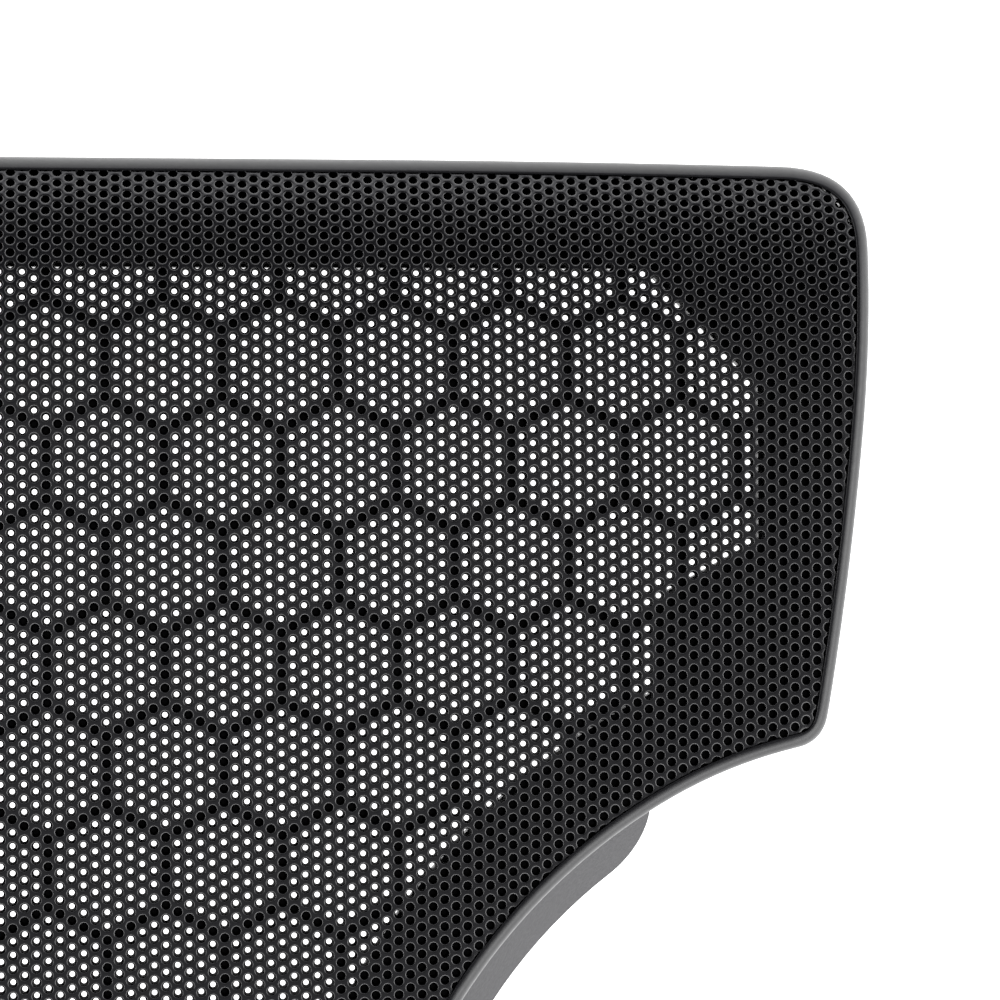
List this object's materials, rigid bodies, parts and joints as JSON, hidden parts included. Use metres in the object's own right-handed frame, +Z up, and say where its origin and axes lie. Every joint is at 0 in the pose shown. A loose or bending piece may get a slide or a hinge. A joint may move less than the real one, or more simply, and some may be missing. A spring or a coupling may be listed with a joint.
{
  "type": "laptop cooling pad",
  "caption": "Bow-tie shaped laptop cooling pad with a crowned perforated top on a honeycomb frame, a central fan pod, a rear control box, flared side legs, fold-out feet and flip-up stops.",
  "frame": {"origin": "on the table, under the middle of the pad", "axes": "+X to the right, +Y to the rear, +Z up"},
  "size_m": [0.389, 0.3026, 0.0508],
  "materials": {
    "black_plastic": "moulded, satin",
    "grille_plastic": "perforated, satin",
    "rim_plastic": "smooth satin",
    "leg_plastic": "fine grained",
    "rubber": "matt",
    "steel": "zinc plated",
    "shell_steel": "tin plated",
    "brass": "sintered",
    "board": "solder mask",
    "laminated_steel": "laminated",
    "copper": "enamelled wire",
    "magnet": "bonded ferrite",
    "lens": "translucent",
    "lead_jacket": "vinyl",
    "gloss_black": "polished"
  },
  "bodies": {
    "base": {"base_pan": "black_plastic", "control_board": "board", "control_box": "black_plastic", "control_box_cover": "black_plastic", "fan_bearing": "brass", "fan_circuit_board": "board", "fan_frame": "black_plastic", "fan_isolators": "rubber", "fan_lead": "lead_jacket", "fan_screws": "steel", "fan_stator": "laminated_steel", "fan_windings": "copper", "front_beam": "black_plastic", "honeycomb_frame": "black_plastic", "intake_grille": "black_plastic", "left_foot_pin": "steel", "left_leg_strip": "rubber", "left_side_leg": "leg_plastic", "left_stop_pin": "steel", "left_stop_tray": "black_plastic", "left_usb_socket": "shell_steel", "leg_screws": "steel", "perimeter_rim": "rim_plastic", "power_lens": "lens", "power_switch": "gloss_black", "rest_pads": "rubber", "right_foot_pin": "steel", "right_leg_strip": "rubber", "right_side_leg": "leg_plastic", "right_stop_pin": "steel", "right_stop_tray": "black_plastic", "right_usb_socket": "shell_steel", "rubber_feet": "rubber", "speed_control": "gloss_black", "top_skin": "grille_plastic"},
    "rotor": {"fan_rotor": "black_plastic", "fan_shaft": "steel", "rotor_magnet": "magnet"},
    "speed_wheel": {"speed_wheel": "gloss_black"},
    "power_rocker": {"power_rocker": "gloss_black"},
    "left_rear_foot": {"left_rear_foot": "black_plastic", "left_foot_pad": "rubber"},
    "right_rear_foot": {"right_rear_foot": "black_plastic", "right_foot_pad": "rubber"},
    "left_stop": {"left_laptop_stop": "black_plastic"},
    "right_stop": {"right_laptop_stop": "black_plastic"}
  },
  "joints": [
    {"name": "fan_spin", "type": "hinge", "parent": "base", "child": "rotor", "pos_m": [0, 0, 0.02], "axis": [0, 0, 1], "continuous": true},
    {"name": "speed_wheel_turn", "type": "hinge", "parent": "base", "child": "speed_wheel", "pos_m": [0.008, 0.139, 0.018], "axis": [0, 0, 1], "range_deg": [0, 270]},
    {"name": "power_rock", "type": "hinge", "parent": "base", "child": "power_rocker", "pos_m": [-0.013, 0.1434, 0.018], "axis": [0, 0, 1], "range_deg": [0, 16]},
    {"name": "left_foot_fold", "type": "hinge", "parent": "base", "child": "left_rear_foot", "pos_m": [-0.036, 0.116, 0.0039], "axis": [-1, 0, 0], "range_deg": [0, 95]},
    {"name": "right_foot_fold", "type": "hinge", "parent": "base", "child": "right_rear_foot", "pos_m": [0.036, 0.116, 0.0039], "axis": [-1, 0, 0], "range_deg": [0, 95]},
    {"name": "left_stop_flip", "type": "hinge", "parent": "base", "child": "left_stop", "pos_m": [-0.026, -0.107, 0.0478], "axis": [1, 0, 0], "range_deg": [0, 90]},
    {"name": "right_stop_flip", "type": "hinge", "parent": "base", "child": "right_stop", "pos_m": [0.026, -0.107, 0.0478], "axis": [1, 0, 0], "range_deg": [0, 90]}
  ]
}
